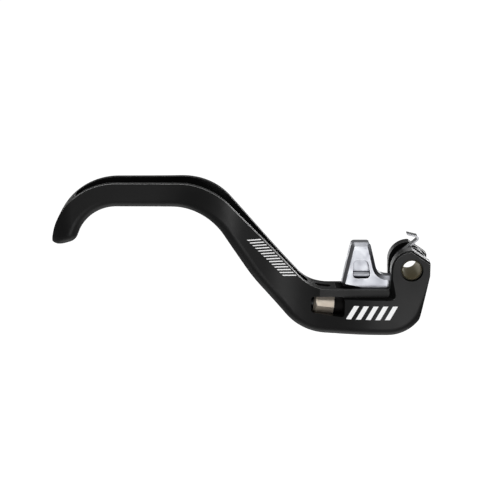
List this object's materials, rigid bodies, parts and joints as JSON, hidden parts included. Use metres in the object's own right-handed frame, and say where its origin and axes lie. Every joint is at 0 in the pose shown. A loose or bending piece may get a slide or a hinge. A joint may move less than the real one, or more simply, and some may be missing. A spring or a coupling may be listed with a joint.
{
  "type": "bicycle brake lever",
  "caption": "Short one-finger brake lever blade with hooked tip, forked pivot knuckle, bright rocker with return spring and hand-turned reach adjuster.",
  "frame": {"origin": "on the pivot axis, midway between the two ears", "axes": "+X from the finger tip to the pivot, +Y along the pivot axis across the lever, +Z from the fingers to the handlebar"},
  "size_m": [0.1013, 0.0142, 0.0421],
  "materials": {
    "lever_blade": "satin black anodised forging",
    "rocker": "bright cast, tumbled",
    "return_spring": "rolled strip",
    "pivot_sleeve": "dull bronze",
    "reach_nut": "champagne anodised",
    "reach_spindle": "turned",
    "friction_ring": "matt black"
  },
  "bodies": {
    "blade": {"lever_blade": "lever_blade", "pivot_sleeve": "pivot_sleeve", "friction_ring": "friction_ring"},
    "rocker_body": {"rocker": "rocker", "return_spring": "return_spring"},
    "nut_body": {"reach_nut": "reach_nut"},
    "spindle_body": {"reach_spindle": "reach_spindle"}
  },
  "joints": [
    {"name": "spindle_slide", "type": "slide", "parent": "blade", "child": "spindle_body", "axis": [0.9945, 0, -0.1045], "range_m": [-0.00122, 0.00122]},
    {"name": "nut_turn", "type": "hinge", "parent": "blade", "child": "nut_body", "pos_m": [-0.0232, 0, -0.0109], "axis": [0.9945, 0, -0.1045], "range_deg": [-631, 631]},
    {"name": "rocker_tilt", "type": "hinge", "parent": "blade", "child": "rocker_body", "pos_m": [0, 0, 0], "axis": [0, 1, 0], "range_deg": [-5.31, 5.31]}
  ],
  "couplings": [
    {"joint": "nut_turn", "follows": "spindle_slide", "rad_per_m": -8976},
    {"joint": "rocker_tilt", "follows": "spindle_slide", "rad_per_m": -75.386}
  ]
}
